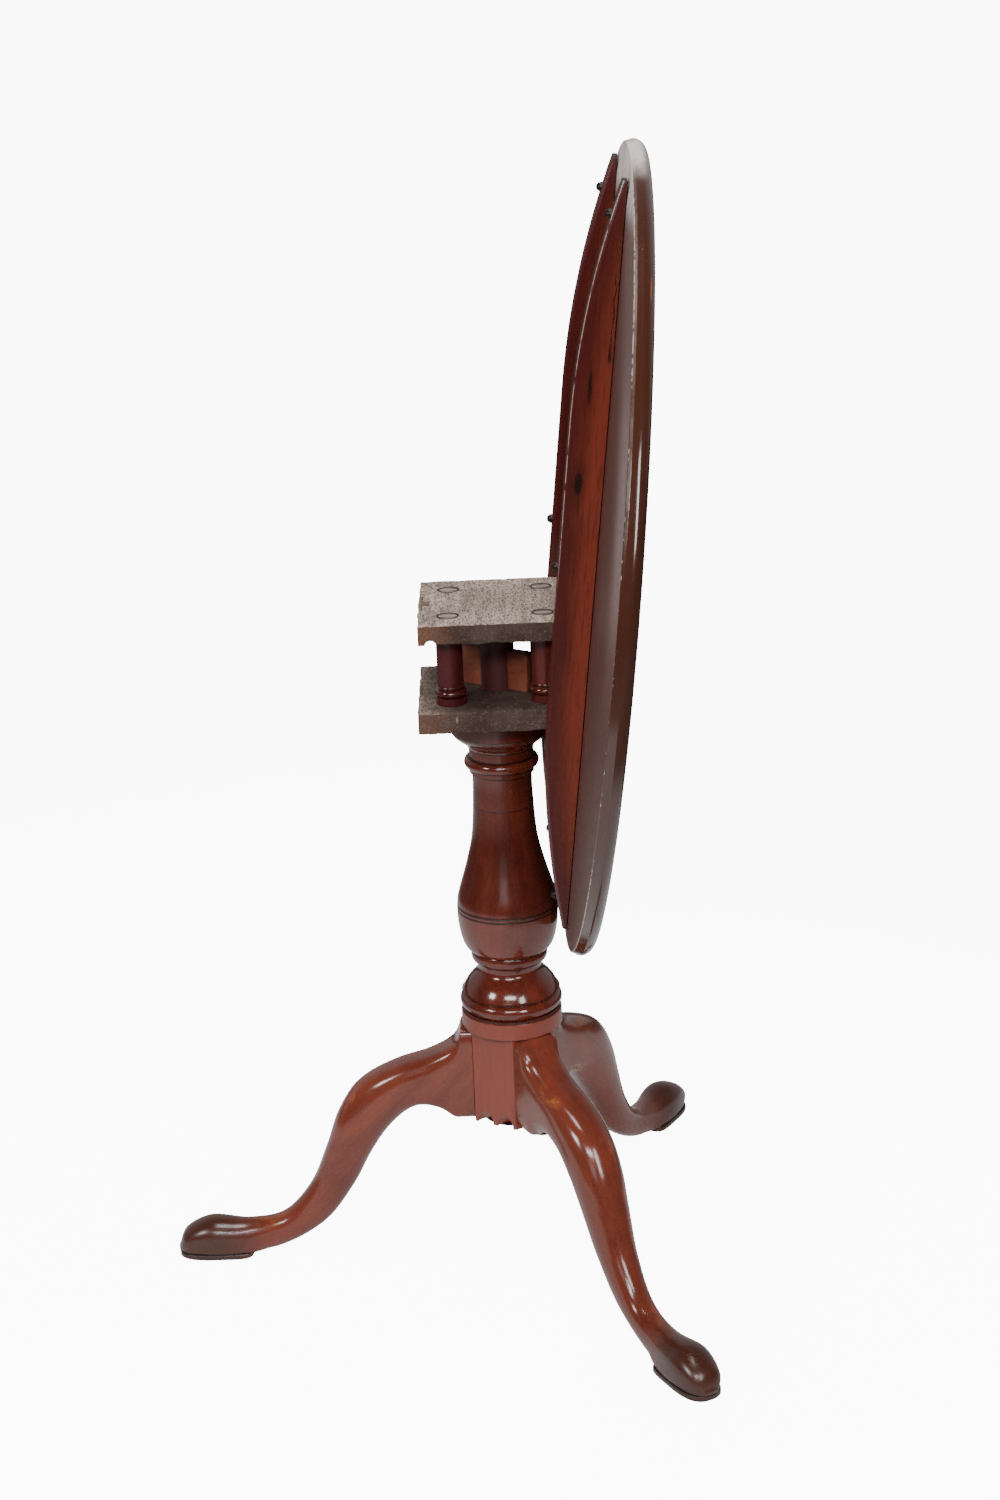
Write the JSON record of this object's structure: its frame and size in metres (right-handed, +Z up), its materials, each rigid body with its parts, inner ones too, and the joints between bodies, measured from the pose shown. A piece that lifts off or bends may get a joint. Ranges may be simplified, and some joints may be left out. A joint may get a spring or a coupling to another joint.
{
  "type": "tilt-top tripod table",
  "caption": "Round-topped wooden pedestal table on cabriole legs, with a turning birdcage that lets the top tilt up on pintles and a sliding catch that holds it down.",
  "frame": {"origin": "on the floor, below the middle of the outer box, with the top tilted up", "axes": "+Z up, +X from the latch side to the hinge side where the raised top stands, +Y along the hinge, away from the pictured side"},
  "size_m": [0.545, 0.7646, 1.1139],
  "materials": {
    "polished_wood": "red-brown mahogany with an old wax and shellac polish",
    "top_wood": "mahogany board, satin below and polished above and at the rim",
    "raw_wood": "bare, dry, grey-brown wood with open grain",
    "key_wood": "bare orange-brown wood",
    "iron": "dark forged iron",
    "brass": "dull old brass"
  },
  "bodies": {
    "base": {"column": "polished_wood", "leg_left": "polished_wood", "leg_front": "polished_wood", "leg_back": "polished_wood", "base_plate": "iron", "base_plate_screw_1": "iron", "base_plate_screw_2": "iron", "base_plate_screw_3": "iron", "base_plate_screw_4": "iron", "base_plate_screw_5": "iron", "base_plate_screw_6": "iron", "cage_key": "key_wood"},
    "cage": {"cage_upper_block": "raw_wood", "cage_lower_block": "raw_wood", "cage_pillar_front_left": "polished_wood", "cage_pillar_front_right": "polished_wood", "cage_pillar_back_left": "polished_wood", "cage_pillar_back_right": "polished_wood", "tenon_wedge_upper_front_left": "key_wood", "tenon_wedge_upper_front_right": "key_wood", "tenon_wedge_upper_back_left": "key_wood", "tenon_wedge_upper_back_right": "key_wood", "tenon_wedge_lower_front_left": "key_wood", "tenon_wedge_lower_front_right": "key_wood", "tenon_wedge_lower_back_left": "key_wood", "tenon_wedge_lower_back_right": "key_wood", "catch_keeper": "brass", "keeper_screw_front": "brass", "keeper_screw_back": "brass"},
    "top": {"table_top": "top_wood", "bearer_front": "polished_wood", "bearer_back": "polished_wood", "bearer_screw_1": "iron", "bearer_screw_2": "iron", "bearer_screw_3": "iron", "bearer_screw_4": "iron", "bearer_screw_5": "iron", "bearer_screw_6": "iron", "catch_plate": "brass", "catch_guide_outer": "brass", "catch_guide_inner": "brass", "catch_screw_1": "brass", "catch_screw_2": "brass", "catch_screw_3": "brass", "catch_screw_4": "brass"},
    "catch_bolt": {"catch_bolt": "brass", "catch_knob": "brass"}
  },
  "joints": [
    {"name": "cage_swivel", "type": "hinge", "parent": "base", "child": "cage", "pos_m": [0.08208, 0, 0.59], "axis": [0, 0, 1], "continuous": true},
    {"name": "top_tilt", "type": "hinge", "parent": "cage", "child": "top", "pos_m": [0.15958, 0, 0.67995], "axis": [0, -1, 0], "range_deg": [0, 96.12]},
    {"name": "catch_slide", "type": "slide", "parent": "top", "child": "catch_bolt", "axis": [-0.1066, 0, -0.9943], "range_m": [0, 0.0105]}
  ]
}
